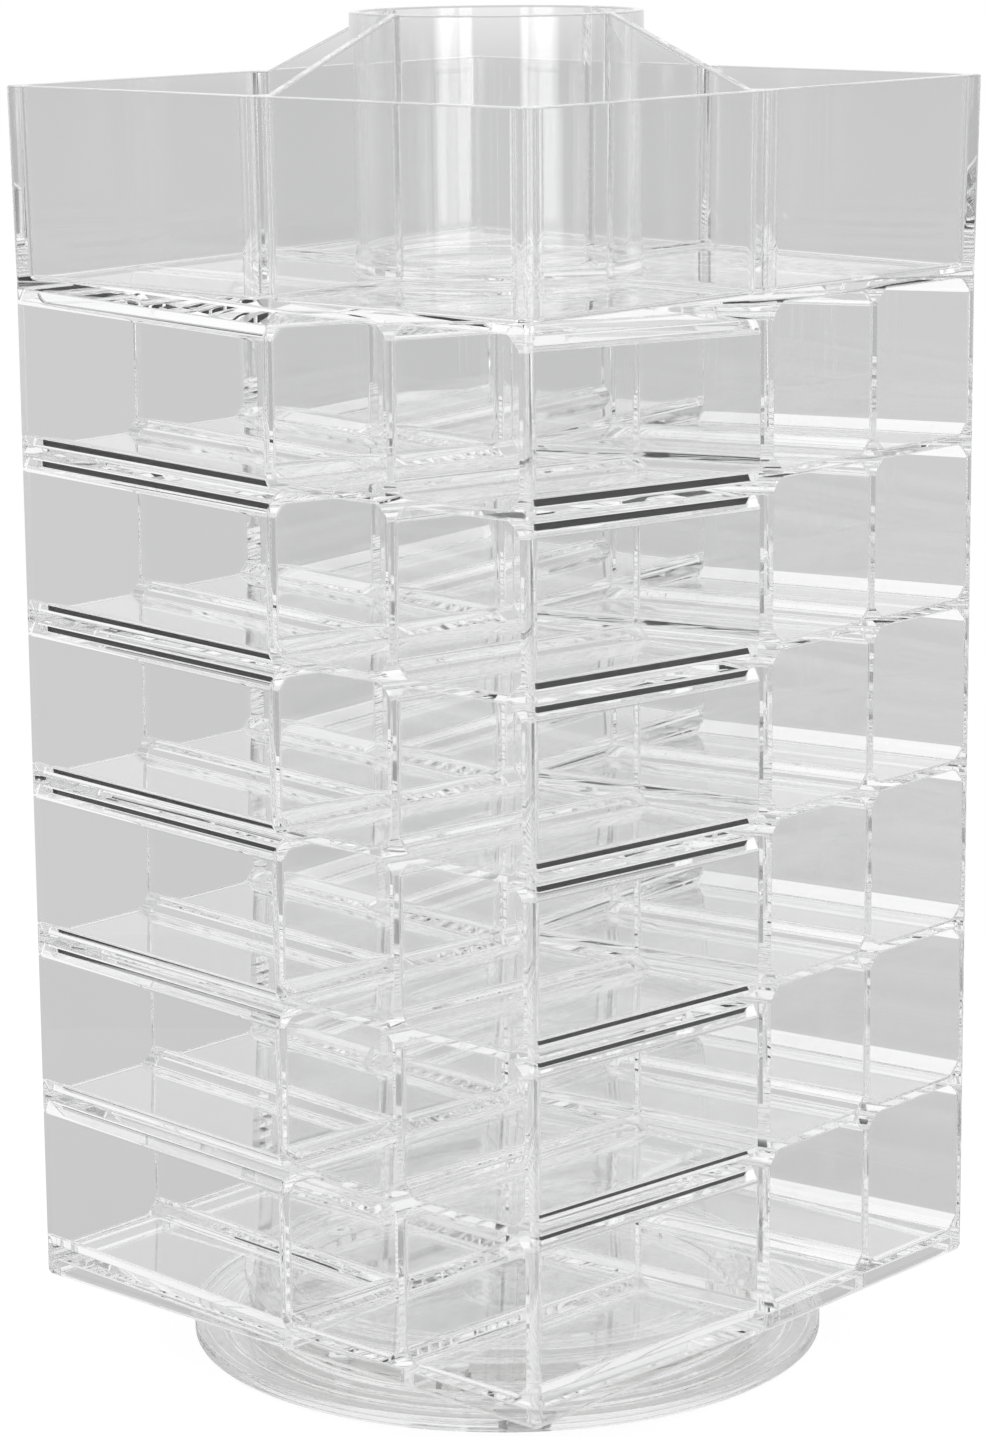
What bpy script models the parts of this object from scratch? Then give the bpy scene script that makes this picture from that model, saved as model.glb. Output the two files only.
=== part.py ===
"""A clear lipstick tower that turns on a round base.

Four equal banks of slots stand in a pinwheel round the upright axis. Each bank opens on its own
face, and its inner wall closes the backs of its neighbour's slots. The shelves sink a little
towards the axis, so that nothing slides out when the tower is spun. A tray with four bins and a
tall brush cup closes the top. Underneath, a plate with a ball race runs on caged balls on the base.

The upright axis is Z, the base stands on Z = 0, and lengths are in metres.
"""

import math

import bmesh
import bpy

MM = 0.001

# Clearances and cuts
SEAT_GAP = 0.3 * MM  # between pieces that are bonded or stand on each other
RUNNING_GAP = 0.4 * MM  # between pieces that turn on each other
OVERRUN = 6.0 * MM  # how far a cut reaches past the face it leaves by
WELD = 0.01 * MM  # points nearer than this on a turned piece are one point

# The tower's square body
SIDE = 125.0 * MM
ROWS = 6
COLUMNS = 2
BANKS = 4
ROW_PITCH = 30.8 * MM
SHELF = 1.9 * MM
SHELF_DROP = 2.5 * MM  # each shelf's fall from the open face to the axis
SLOT_CORNER = 2.0 * MM
OUTER_WALL = 2.6 * MM
INNER_WALL = 2.2 * MM
DIVIDER = 2.0 * MM
SKIRT = 3.4 * MM  # from the body's bottom edge up to the lowest shelf's underside
SKIRT_WALL = 2.2 * MM
BANK_TOP = 1.0 * MM  # skin over the top row at the open face
EDGE_ROUND = 1.5 * MM

# The tray and its cup
TRAY_FLOOR = 1.5 * MM
TRAY_DEPTH = 35.1 * MM
TRAY_WALL = 2.0 * MM
TRAY_FLARE = 0.5 * MM  # how far each wall leans out at its rim
TRAY_DIVIDER = 2.0 * MM
BIN_CORNER = 3.0 * MM
CUP_RADIUS = 26.7 * MM
CUP_TAPER = 0.6 * MM  # how much narrower the cup is at its foot
CUP_WALL = 1.8 * MM
CUP_FLOOR = 1.8 * MM
CUP_FOOT_ROUND = 1.2 * MM
CUP_LIP_ROUND = 0.5 * MM
CUP_RISE = 12.4 * MM  # of the cup's rim, and the dividers' inner ends, over the tray's rim

# The base disc and its feet
BASE_RADIUS = 60.0 * MM
BASE_PLATE = 2.0 * MM
LIP_WIDTH = 2.0 * MM
LIP_RISE = 0.6 * MM
LIP_CHAMFER = 0.4 * MM
FEET = 4
FOOT_RADIUS = 4.5 * MM
FOOT_HEIGHT = 1.5 * MM
FOOT_SUNK = 0.7 * MM
FOOT_CIRCLE = 50.0 * MM

# The ball race
BALLS = 12
BALL_RADIUS = 2.5 * MM
RACE_RADIUS = 45.0 * MM
RACE_HALF_WIDTH = 2.6 * MM
GROOVE_DEPTH = 0.6 * MM
CAGE_HALF_WIDTH = 3.6 * MM
CAGE_THICKNESS = 1.6 * MM

# The plate under the tower, its hub and the pivot
PLATE_RADIUS = 49.5 * MM
PLATE_THICKNESS = 1.6 * MM
RACE_HEIGHT = 2.3 * MM
BOSS_RADIUS = 7.0 * MM
BOSS_HEIGHT = 5.6 * MM
HUB_WALL = 2.0 * MM
HUB_WEB = 1.4 * MM  # what the pivot's head holds down
HUB_LIFT = 0.8 * MM  # of the hub's mouth over the base plate
PIVOT_RADIUS = 3.0 * MM
PIVOT_HEAD_RADIUS = 5.0 * MM
PIVOT_HEAD = 1.0 * MM
PIVOT_TIP_CHAMFER = 0.5 * MM
RETAINER_RADIUS = 5.6 * MM
RETAINER_THICKNESS = 0.8 * MM

# Facets
ROUND_STEPS = 3  # along a quarter turn of a small corner
GROOVE_STEPS = 4
TURN_STEPS = 64
PIN_STEPS = 24
BALL_STEPS = 12
SMOOTH_BELOW = math.radians(35)  # edges that bend less than this are shaded smooth

# Heights that follow
base_bottom = FOOT_HEIGHT - FOOT_SUNK
base_top = base_bottom + BASE_PLATE
groove_radius = BALL_RADIUS + SEAT_GAP
ball_height = base_top + groove_radius
lower_race_top = base_top + GROOVE_DEPTH
upper_race_bottom = ball_height + groove_radius - GROOVE_DEPTH
plate_bottom = upper_race_bottom + RACE_HEIGHT
plate_top = plate_bottom + PLATE_THICKNESS
boss_top = base_top + BOSS_HEIGHT
tower_bottom = plate_top + SEAT_GAP
bank_height = SKIRT + ROWS * ROW_PITCH
tray_bottom = tower_bottom + bank_height + SEAT_GAP
tray_floor_top = tray_bottom + TRAY_FLOOR
tray_rim = tray_floor_top + TRAY_DEPTH
cup_bottom = tray_floor_top + SEAT_GAP
cup_rim = tray_rim + CUP_RISE

# Sizes in plan that follow
half = SIDE / 2
slot_width = (half - OUTER_WALL - INNER_WALL - DIVIDER * (COLUMNS - 1)) / COLUMNS
groove_half_angle = math.acos(1 - GROOVE_DEPTH / groove_radius)


def new_collection(name):
    collection = bpy.data.collections.new(name)
    bpy.context.scene.collection.children.link(collection)
    return collection


for thing in list(bpy.data.objects):
    bpy.data.objects.remove(thing, do_unlink=True)
parts = new_collection("rotating_lipstick_holder")
cutters = new_collection("cutters")


def plastic(name, colour, roughness, transmission):
    material = bpy.data.materials.new(name)
    material.use_nodes = True
    shader = material.node_tree.nodes["Principled BSDF"]
    shader.inputs["Base Color"].default_value = (*colour, 1.0)
    shader.inputs["Roughness"].default_value = roughness
    shader.inputs["Metallic"].default_value = 0.0
    shader.inputs["Transmission Weight"].default_value = transmission
    shader.inputs["IOR"].default_value = 1.49
    return material


def crystal(name):
    return plastic(name, (0.97, 0.98, 0.98), 0.03, 1.0)


def silicone(name):
    return plastic(name, (0.90, 0.91, 0.91), 0.45, 0.6)


def nylon(name):
    return plastic(name, (0.88, 0.88, 0.86), 0.35, 0.4)


def add_object(name, mesh, collection, material=None, parent=None):
    thing = bpy.data.objects.new(name, mesh)
    collection.objects.link(thing)
    thing.parent = parent
    if material:
        mesh.materials.clear()
        mesh.materials.append(material)
    return thing


def add_axis(name):
    """An upright axis that turning pieces hang from."""
    axis = bpy.data.objects.new(name, None)
    parts.objects.link(axis)
    return axis


def shade(mesh):
    mesh.shade_smooth()
    mesh.set_sharp_from_angle(angle=SMOOTH_BELOW)
    return mesh


def mesh_from(name, bm):
    """Turns finished geometry into a mesh whose faces point out."""
    mesh = bpy.data.meshes.new(name)
    bmesh.ops.recalc_face_normals(bm, faces=bm.faces)
    bm.to_mesh(mesh)
    bm.free()
    return shade(mesh)


def add_to(bm, piece):
    """Moves one finished piece of geometry into a larger one."""
    mesh = mesh_from("piece", piece)
    bm.from_mesh(mesh)
    bpy.data.meshes.remove(mesh)


def evaluated_mesh(thing):
    """The object's mesh with its modifiers applied; the object goes."""
    graph = bpy.context.evaluated_depsgraph_get()
    mesh = bpy.data.meshes.new_from_object(thing.evaluated_get(graph))
    mesh.name = thing.name
    bpy.data.objects.remove(thing, do_unlink=True)
    return mesh


def cut(thing, name, bm):
    """Cuts geometry out of an object, with a cutter that stays in the file."""
    cutter = add_object(name, mesh_from(name, bm), cutters)
    cutter.hide_render = True
    cutter.display_type = "WIRE"
    boolean = thing.modifiers.new(name, "BOOLEAN")
    boolean.operation = "DIFFERENCE"
    boolean.object = cutter


def add_box(bm, low, high):
    """A box between two corners; returns its vertices."""
    verts = bmesh.ops.create_cube(bm, size=1.0)["verts"]
    for vert in verts:
        for axis in range(3):
            vert.co[axis] = high[axis] if vert.co[axis] > 0 else low[axis]
    return verts


def add_drum(bm, foot_radius, top_radius, low, high, steps, x=0.0, y=0.0):
    """A solid cylinder or cone on an upright axis."""
    drum = bmesh.ops.create_cone(
        bm,
        cap_ends=True,
        segments=steps,
        radius1=foot_radius,
        radius2=top_radius,
        depth=high - low,
    )
    bmesh.ops.translate(bm, verts=drum["verts"], vec=(x, y, (low + high) / 2))


def round_edges(bm, verts, test, radius):
    """Rounds the edges among these vertices whose two ends pass a test."""
    bm.edges.index_update()
    edges = {edge for vert in verts for edge in vert.link_edges}
    chosen = [edge for edge in edges if test(edge.verts[0].co, edge.verts[1].co)]
    chosen.sort(key=lambda edge: edge.index)
    bmesh.ops.bevel(
        bm, geom=chosen, offset=radius, segments=ROUND_STEPS, profile=0.5, affect="EDGES"
    )


def upright(a, b):
    return a.x == b.x and a.y == b.y


def along_x(a, b):
    return a.y == b.y and a.z == b.z


def turned(name, outline, steps, material, parent=None, ring=True):
    """A turned piece from an outline of (radius, height), which runs down its outer side.

    A ring's outline closes on itself; a solid piece's starts and ends on the axis.
    """
    count = len(outline)
    ends = [(i, (i + 1) % count) for i in range(count if ring else count - 1)]
    profile = bpy.data.meshes.new(name + "_profile")
    profile.from_pydata([(radius, 0.0, height) for radius, height in outline], ends, [])
    blank = add_object(name, profile, parts)
    screw = blank.modifiers.new("turn", "SCREW")
    screw.axis = "Z"
    screw.steps = steps
    screw.render_steps = steps
    screw.use_merge_vertices = True
    screw.merge_threshold = WELD
    mesh = shade(evaluated_mesh(blank))
    return add_object(name, mesh, parts, material, parent)


def round_the_axis(count, radius, start_share=0.0):
    """Places spread evenly on a circle; the first is a share of a step round from +X."""
    for i in range(count):
        angle = 2 * math.pi * (i + start_share) / count
        yield radius * math.cos(angle), radius * math.sin(angle)


tower_axis = add_axis("tower_axis")
cage_axis = add_axis("cage_axis")


# The four slot banks
def sink_to_axis(verts):
    """Leans level geometry down towards the axis, as the shelves lie."""
    for vert in verts:
        vert.co.z -= SHELF_DROP * (vert.co.x + half) / half


def slot_cut(side, floor, ceiling):
    """One slot: a square tube with rounded corners that sinks towards the axis."""
    bm = bmesh.new()
    low = (-half - OVERRUN, side, floor)
    high = (OVERRUN, side + slot_width, ceiling)
    verts = add_box(bm, low, high)
    round_edges(bm, verts, along_x, SLOT_CORNER)
    sink_to_axis(bm.verts)
    return bm


def skirt_cut(side):
    """The hollow under one column's lowest shelf, behind the skirt."""
    bm = bmesh.new()
    low = (-half + SKIRT_WALL, side, tower_bottom - OVERRUN)
    high = (OVERRUN, side + slot_width, tower_bottom + SKIRT)
    verts = add_box(bm, low, high)
    sink_to_axis([vert for vert in verts if vert.co.z > tower_bottom])
    return bm


def bank_blank():
    """A quarter of the tower: a plain block, rounded along its outer corner and its foot."""

    def outer_edge(a, b):
        on_face = max(a.x, b.x) < -half / 2, max(a.y, b.y) < -half / 2
        return all(on_face) if upright(a, b) else any(on_face) and max(a.z, b.z) < middle

    bm = bmesh.new()
    low = (-half, -half, tower_bottom)
    high = (-SEAT_GAP, 0.0, tower_bottom + bank_height)
    middle = tower_bottom + bank_height / 2
    round_edges(bm, add_box(bm, low, high), outer_edge, EDGE_ROUND)
    return bm


def bank_mesh():
    """The bank that opens on the -X face: three upright walls joined by its shelves."""
    bank = add_object("slot_bank", mesh_from("slot_bank", bank_blank()), parts)
    hollows = bmesh.new()
    for column in range(COLUMNS):
        side = -half + OUTER_WALL + column * (slot_width + DIVIDER)
        add_to(hollows, skirt_cut(side))
        for row in range(ROWS):
            underside = tower_bottom + SKIRT + row * ROW_PITCH
            skin = BANK_TOP if row == ROWS - 1 else 0.0
            add_to(hollows, slot_cut(side, underside + SHELF, underside + ROW_PITCH - skin))
    cut(bank, "slot_cuts", hollows)
    return shade(evaluated_mesh(bank))


def add_banks():
    """Four equal banks, each a quarter turn on from the last."""
    mesh = bank_mesh()
    for number, face in enumerate(("front", "right", "back", "left")):
        name = "slot_bank_" + face
        bank = add_object(name, mesh.copy(), parts, crystal(name), tower_axis)
        bank.rotation_euler.z = 2 * math.pi * number / BANKS


add_banks()


# The tray on top
def lean_out(verts):
    """Leans the outer sides of upright geometry outwards, as the tray's walls do."""
    for vert in verts:
        lean = TRAY_FLARE * max(vert.co.z - tray_floor_top, 0.0) / TRAY_DEPTH
        for axis in range(2):
            if abs(vert.co[axis]) > half / 2:
                vert.co[axis] += math.copysign(lean, vert.co[axis])


def tray_blank():
    """The tray's outer form. Its top rises inwards to the cup's rim, as the dividers do."""

    def wall_corner(a, b):
        return min(a.z, b.z) < tray_floor_top < max(a.z, b.z)

    bm = bmesh.new()
    lean_out(add_box(bm, (-half, -half, tray_bottom), (half, half, tray_rim)))
    top = max(bm.faces, key=lambda face: face.calc_center_median().z)
    ledge = TRAY_WALL + BIN_CORNER
    bmesh.ops.inset_region(bm, faces=[top], thickness=ledge, use_even_offset=True)
    raised = bmesh.ops.extrude_face_region(bm, geom=[top])["geom"]
    bmesh.ops.delete(bm, geom=[top], context="FACES_ONLY")
    narrow = CUP_RADIUS / (half + TRAY_FLARE - ledge)
    for vert in raised:
        if isinstance(vert, bmesh.types.BMVert):
            vert.co.x *= narrow
            vert.co.y *= narrow
            vert.co.z += CUP_RISE
    round_edges(bm, bm.verts, wall_corner, EDGE_ROUND)
    return bm


def bin_cut(x_side, y_side):
    """One bin, in the quarter of the tray on these sides of the axis."""
    bm = bmesh.new()
    near, far = TRAY_DIVIDER / 2, half - TRAY_WALL
    x_span = sorted((x_side * near, x_side * far))
    y_span = sorted((y_side * near, y_side * far))
    low = (x_span[0], y_span[0], tray_floor_top)
    high = (x_span[1], y_span[1], cup_rim + OVERRUN)
    round_edges(bm, add_box(bm, low, high), upright, BIN_CORNER)
    lean_out(bm.verts)
    return bm


def add_tray():
    name = "top_tray"
    tray = add_object(name, mesh_from(name, tray_blank()), parts, crystal(name), tower_axis)
    bins = bmesh.new()
    for x_side in (-1, 1):
        for y_side in (-1, 1):
            add_to(bins, bin_cut(x_side, y_side))
    cut(tray, "bin_cuts", bins)
    well = bmesh.new()
    rim_radius = CUP_RADIUS + SEAT_GAP
    widen = CUP_TAPER * OVERRUN / (cup_rim - tray_floor_top)
    foot_radius, top_radius = rim_radius - CUP_TAPER, rim_radius + widen
    add_drum(well, foot_radius, top_radius, tray_floor_top, cup_rim + OVERRUN, TURN_STEPS)
    cut(tray, "cup_well_cut", well)


add_tray()


# The brush cup in the middle of the tray
def add_cup():
    name = "brush_cup"
    foot_radius = CUP_RADIUS - CUP_TAPER
    rim_inner = CUP_RADIUS - CUP_WALL
    foot_inner = foot_radius - CUP_WALL
    inside_floor = cup_bottom + CUP_FLOOR
    outline = [
        (0.0, inside_floor),
        (foot_inner - CUP_FOOT_ROUND, inside_floor),
        (foot_inner, inside_floor + CUP_FOOT_ROUND),
        (rim_inner, cup_rim - CUP_LIP_ROUND),
        (rim_inner + CUP_LIP_ROUND, cup_rim),
        (CUP_RADIUS - CUP_LIP_ROUND, cup_rim),
        (CUP_RADIUS, cup_rim - CUP_LIP_ROUND),
        (foot_radius, cup_bottom + CUP_FOOT_ROUND),
        (foot_radius - CUP_FOOT_ROUND, cup_bottom),
        (0.0, cup_bottom),
    ]
    turned(name, outline, TURN_STEPS, crystal(name), tower_axis, ring=False)


add_cup()


# The plate under the tower, with the upper race and the hub
def groove(side):
    """The points across a ball groove, going outwards; side is 1 over the balls, -1 under."""
    for i in range(GROOVE_STEPS + 1):
        angle = groove_half_angle * (2 * i / GROOVE_STEPS - 1)
        yield (
            RACE_RADIUS + groove_radius * math.sin(angle),
            ball_height + side * groove_radius * math.cos(angle),
        )


def add_turntable_plate():
    name = "turntable_plate"
    hub_inner = BOSS_RADIUS + RUNNING_GAP
    web_bottom = boss_top + SEAT_GAP
    web_top = web_bottom + HUB_WEB
    bore = PIVOT_RADIUS + RUNNING_GAP
    well = PIVOT_HEAD_RADIUS + RUNNING_GAP
    outline = [
        (PLATE_RADIUS, plate_top),
        (PLATE_RADIUS, plate_bottom),
        (RACE_RADIUS + RACE_HALF_WIDTH, plate_bottom),
        (RACE_RADIUS + RACE_HALF_WIDTH, upper_race_bottom),
        *reversed(list(groove(1))),
        (RACE_RADIUS - RACE_HALF_WIDTH, upper_race_bottom),
        (RACE_RADIUS - RACE_HALF_WIDTH, plate_bottom),
        (hub_inner + HUB_WALL, plate_bottom),
        (hub_inner + HUB_WALL, base_top + HUB_LIFT),
        (hub_inner, base_top + HUB_LIFT),
        (hub_inner, web_bottom),
        (bore, web_bottom),
        (bore, web_top),
        (well, web_top),
        (well, plate_top),
    ]
    turned(name, outline, TURN_STEPS, crystal(name), tower_axis)


add_turntable_plate()


# The balls and their cage
def add_cage():
    name = "ball_cage"
    outer, inner = RACE_RADIUS + CAGE_HALF_WIDTH, RACE_RADIUS - CAGE_HALF_WIDTH
    high = ball_height + CAGE_THICKNESS / 2
    low = high - CAGE_THICKNESS
    outline = [(outer, high), (outer, low), (inner, low), (inner, high)]
    cage = turned(name, outline, TURN_STEPS, nylon(name), cage_axis)
    seats = bmesh.new()
    radius = groove_radius
    for x, y in round_the_axis(BALLS, RACE_RADIUS):
        add_drum(seats, radius, radius, low - OVERRUN, high + OVERRUN, PIN_STEPS, x, y)
    cut(cage, "ball_seat_cuts", seats)


def add_balls():
    for number, (x, y) in enumerate(round_the_axis(BALLS, RACE_RADIUS), 1):
        name = "bearing_ball_" + str(number)
        bm = bmesh.new()
        bmesh.ops.create_uvsphere(
            bm, u_segments=BALL_STEPS, v_segments=BALL_STEPS // 2, radius=BALL_RADIUS
        )
        mesh = mesh_from(name, bm)
        mesh.shade_smooth()
        ball = add_object(name, mesh, parts, crystal(name), cage_axis)
        ball.location = (x, y, ball_height)


add_cage()
add_balls()


# The base disc, with the lower race and the boss, and its feet
def add_base():
    name = "base_disc"
    lip_top = base_top + LIP_RISE
    lip_inner = BASE_RADIUS - LIP_WIDTH
    bore = PIVOT_RADIUS + SEAT_GAP
    recess = RETAINER_RADIUS + SEAT_GAP
    recess_top = base_bottom + SEAT_GAP + RETAINER_THICKNESS + SEAT_GAP
    outline = [
        (BASE_RADIUS - LIP_CHAMFER, lip_top),
        (BASE_RADIUS, lip_top - LIP_CHAMFER),
        (BASE_RADIUS, base_bottom + LIP_CHAMFER),
        (BASE_RADIUS - LIP_CHAMFER, base_bottom),
        (recess, base_bottom),
        (recess, recess_top),
        (bore, recess_top),
        (bore, boss_top),
        (BOSS_RADIUS, boss_top),
        (BOSS_RADIUS, base_top),
        (RACE_RADIUS - RACE_HALF_WIDTH, base_top),
        (RACE_RADIUS - RACE_HALF_WIDTH, lower_race_top),
        *groove(-1),
        (RACE_RADIUS + RACE_HALF_WIDTH, lower_race_top),
        (RACE_RADIUS + RACE_HALF_WIDTH, base_top),
        (lip_inner - LIP_RISE, base_top),
        (lip_inner, lip_top),
    ]
    base = turned(name, outline, TURN_STEPS, crystal(name))
    seats = bmesh.new()
    radius = FOOT_RADIUS + SEAT_GAP
    top = FOOT_HEIGHT + SEAT_GAP
    for x, y in round_the_axis(FEET, FOOT_CIRCLE, start_share=0.5):
        add_drum(seats, radius, radius, base_bottom - OVERRUN, top, PIN_STEPS, x, y)
    cut(base, "foot_seat_cuts", seats)


def add_feet():
    for number, (x, y) in enumerate(round_the_axis(FEET, FOOT_CIRCLE, start_share=0.5), 1):
        name = "foot_pad_" + str(number)
        bm = bmesh.new()
        add_drum(bm, FOOT_RADIUS, FOOT_RADIUS, 0.0, FOOT_HEIGHT, PIN_STEPS)
        foot = add_object(name, mesh_from(name, bm), parts, silicone(name))
        foot.location = (x, y, 0.0)


add_base()
add_feet()


# The pivot that holds the tower down on the base, and its retainer under the base
def add_pivot():
    name = "pivot_pin"
    head_bottom = boss_top + SEAT_GAP + HUB_WEB + SEAT_GAP
    tip = base_bottom + SEAT_GAP
    outline = [
        (0.0, head_bottom + PIVOT_HEAD),
        (PIVOT_HEAD_RADIUS, head_bottom + PIVOT_HEAD),
        (PIVOT_HEAD_RADIUS, head_bottom),
        (PIVOT_RADIUS, head_bottom),
        (PIVOT_RADIUS, tip + PIVOT_TIP_CHAMFER),
        (PIVOT_RADIUS - PIVOT_TIP_CHAMFER, tip),
        (0.0, tip),
    ]
    turned(name, outline, PIN_STEPS, nylon(name), ring=False)


def add_retainer():
    name = "pivot_retainer"
    low = base_bottom + SEAT_GAP
    high = low + RETAINER_THICKNESS
    inner = PIVOT_RADIUS + SEAT_GAP
    outline = [(RETAINER_RADIUS, high), (RETAINER_RADIUS, low), (inner, low), (inner, high)]
    turned(name, outline, PIN_STEPS, nylon(name))


add_pivot()
add_retainer()
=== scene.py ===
import math

import bmesh
import bpy
from mathutils import Matrix, Vector


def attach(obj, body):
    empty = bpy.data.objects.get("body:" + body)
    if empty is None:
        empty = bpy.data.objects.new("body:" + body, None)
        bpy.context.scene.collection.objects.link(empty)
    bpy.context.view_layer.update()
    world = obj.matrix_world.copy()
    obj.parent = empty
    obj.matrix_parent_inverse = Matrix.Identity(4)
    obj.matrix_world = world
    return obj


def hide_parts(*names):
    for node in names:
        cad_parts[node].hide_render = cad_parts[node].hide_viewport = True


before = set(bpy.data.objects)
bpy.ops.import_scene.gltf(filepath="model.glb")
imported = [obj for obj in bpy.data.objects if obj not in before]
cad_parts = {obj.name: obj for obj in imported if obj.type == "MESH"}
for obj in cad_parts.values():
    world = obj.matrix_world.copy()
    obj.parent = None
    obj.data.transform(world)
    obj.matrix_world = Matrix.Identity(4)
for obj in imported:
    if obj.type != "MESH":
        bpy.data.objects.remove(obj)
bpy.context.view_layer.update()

MM = 0.001

# The camera stands where the photograph was taken from: a little above the tray's rim, well back
# and to the left, turned so that the tower's front corner is nearly in the middle of the frame.
CAMERA_PLACE = (-0.56303, -0.50376, 0.27580)
CAMERA_YAW = math.radians(48.049)
CAMERA_PITCH = math.radians(11.741)
CAMERA_ROLL = math.radians(-0.513)
FOCAL_PIXELS = 4124.7
FRAME_WIDTH = 986
SENSOR = 36.0
NEAREST = 0.05
BOUNCES = 64

ahead = Vector((
    math.sin(CAMERA_YAW) * math.cos(CAMERA_PITCH),
    math.cos(CAMERA_YAW) * math.cos(CAMERA_PITCH),
    -math.sin(CAMERA_PITCH),
))
level = Vector((math.cos(CAMERA_YAW), -math.sin(CAMERA_YAW), 0.0))
above = level.cross(ahead)
right = level * math.cos(CAMERA_ROLL) + above * math.sin(CAMERA_ROLL)
up = above * math.cos(CAMERA_ROLL) - level * math.sin(CAMERA_ROLL)
camera = bpy.data.objects.new("camera", bpy.data.cameras.new("camera"))
camera.data.sensor_fit = "HORIZONTAL"
camera.data.sensor_width = SENSOR
camera.data.lens = SENSOR * FOCAL_PIXELS / FRAME_WIDTH
camera.data.clip_start = NEAREST
camera.matrix_world = Matrix((
    (right.x, up.x, -ahead.x, CAMERA_PLACE[0]),
    (right.y, up.y, -ahead.y, CAMERA_PLACE[1]),
    (right.z, up.z, -ahead.z, CAMERA_PLACE[2]),
    (0.0, 0.0, 0.0, 1.0),
))
bpy.context.scene.collection.objects.link(camera)
bpy.context.scene.camera = camera
bpy.context.scene.view_settings.view_transform = "Standard"
bpy.context.scene.cycles.max_bounces = BOUNCES
bpy.context.scene.cycles.transmission_bounces = BOUNCES
bpy.context.scene.cycles.glossy_bounces = BOUNCES
bpy.context.scene.cycles.transparent_max_bounces = BOUNCES


# The studio: a round pale table that the camera sees as white, with soft light all round it. The
# plastic shows it as it is: light grey low down, white above, with two soft boxes beside the
# camera, and dark cards at both sides, which draw the dark lines along the shelves.
class Socket:
    """A socket that works in sums, so that maths between nodes reads as a formula."""

    def __init__(self, nodes, socket):
        self.nodes, self.socket = nodes, socket

    def maths(self, operation, *others, swap=False):
        values = [self, *others]
        if swap:
            values.reverse()
        return self.nodes.add("ShaderNodeMath", {"operation": operation}, dict(enumerate(values)))

    def rise(self, low, high):
        """0 below low, 1 above high, and a soft step between."""
        limits = {"Value": self, "From Min": low, "From Max": high, "To Min": 0.0, "To Max": 1.0}
        return self.nodes.add("ShaderNodeMapRange", {"interpolation_type": "SMOOTHSTEP"}, limits)

    def parts(self):
        """The x, y and z of a vector."""
        self.nodes.add("ShaderNodeSeparateXYZ", None, {0: self})
        return [Socket(self.nodes, out) for out in self.nodes.newest.outputs]

    def __add__(self, other):
        return self.maths("ADD", other)

    def __radd__(self, other):
        return self.maths("ADD", other, swap=True)

    def __sub__(self, other):
        return self.maths("SUBTRACT", other)

    def __rsub__(self, other):
        return self.maths("SUBTRACT", other, swap=True)

    def __mul__(self, other):
        return self.maths("MULTIPLY", other)

    def __rmul__(self, other):
        return self.maths("MULTIPLY", other, swap=True)

    def __truediv__(self, other):
        return self.maths("DIVIDE", other)

    def __rtruediv__(self, other):
        return self.maths("DIVIDE", other, swap=True)

    def __gt__(self, other):
        return self.maths("GREATER_THAN", other)

    def __lt__(self, other):
        return self.maths("LESS_THAN", other)

    def __neg__(self):
        return self.maths("MULTIPLY", -1.0)

    def __abs__(self):
        return self.maths("ABSOLUTE")


class Nodes:
    """A node tree, in which every node comes from add."""

    def __init__(self, tree):
        self.tree, self.newest = tree, None

    def add(self, kind, settings=None, inputs=None, output=0):
        """Makes a node: its settings first, then the values or links of its sockets."""
        node = self.newest = self.tree.nodes.new(kind)
        for name, value in (settings or {}).items():
            setattr(node, name, value)
        for name, value in (inputs or {}).items():
            self.feed(node.inputs[name], value)
        return Socket(self, node.outputs[output]) if len(node.outputs) else None

    def feed(self, socket, value):
        if isinstance(value, Socket):
            self.tree.links.new(value.socket, socket)
        else:
            socket.default_value = value

    def vector(self, x, y, z):
        return self.add("ShaderNodeCombineXYZ", None, {0: x, 1: y, 2: z})


# How bright each part of the studio is, where 1 is white.
BACKDROP = 1.0
LOW_DOWN, LOW_AT_SIDES = 0.63, 0.48
ALL_ROUND, BEHIND_CAMERA, ABOVE = 1.0, 0.7, 1.05
SOFT_BOXES, SIDE_CARDS = 2.8, 0.02

# The soft edges of those parts, as how far a direction goes forward, to the side or up.
CAMERA_EDGE = 0.2, 0.35
CARD_EDGE = 0.80, 0.84
LOW_EDGE = -0.06, -0.02
ABOVE_EDGE = 0.68, 0.74
BOX_INNER_EDGE, BOX_OUTER_EDGE = (0.33, 0.36), (0.74, 0.77)
BOX_FOOT, BOX_TOP = (-0.16, -0.12), (0.10, 0.14)

world = bpy.data.worlds.new("studio")
bpy.context.scene.world = world
world.use_nodes = True
world.node_tree.nodes.clear()
nodes = Nodes(world.node_tree)
way_x, way_y, way_z = nodes.add("ShaderNodeTexCoord", output="Generated").parts()
toward = way_x * math.sin(CAMERA_YAW) + way_y * math.cos(CAMERA_YAW)
across = abs(way_x * math.cos(CAMERA_YAW) - way_y * math.sin(CAMERA_YAW))
in_front = (-toward).rise(*CAMERA_EDGE)
studio_light = ALL_ROUND + (BEHIND_CAMERA - ALL_ROUND) * in_front
high = way_z.rise(*ABOVE_EDGE)
studio_light = studio_light * (1.0 - high) + ABOVE * high
cards = across.rise(*CARD_EDGE)
studio_light = studio_light * (1.0 - cards) + SIDE_CARDS * cards
raised = way_z.rise(*LOW_EDGE)
low_light = LOW_DOWN + (LOW_AT_SIDES - LOW_DOWN) * cards
studio_light = low_light * (1.0 - raised) + studio_light * raised
boxes = across.rise(*BOX_INNER_EDGE) * (1.0 - across.rise(*BOX_OUTER_EDGE)) * in_front
boxes = boxes * way_z.rise(*BOX_FOOT) * (1.0 - way_z.rise(*BOX_TOP))
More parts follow.
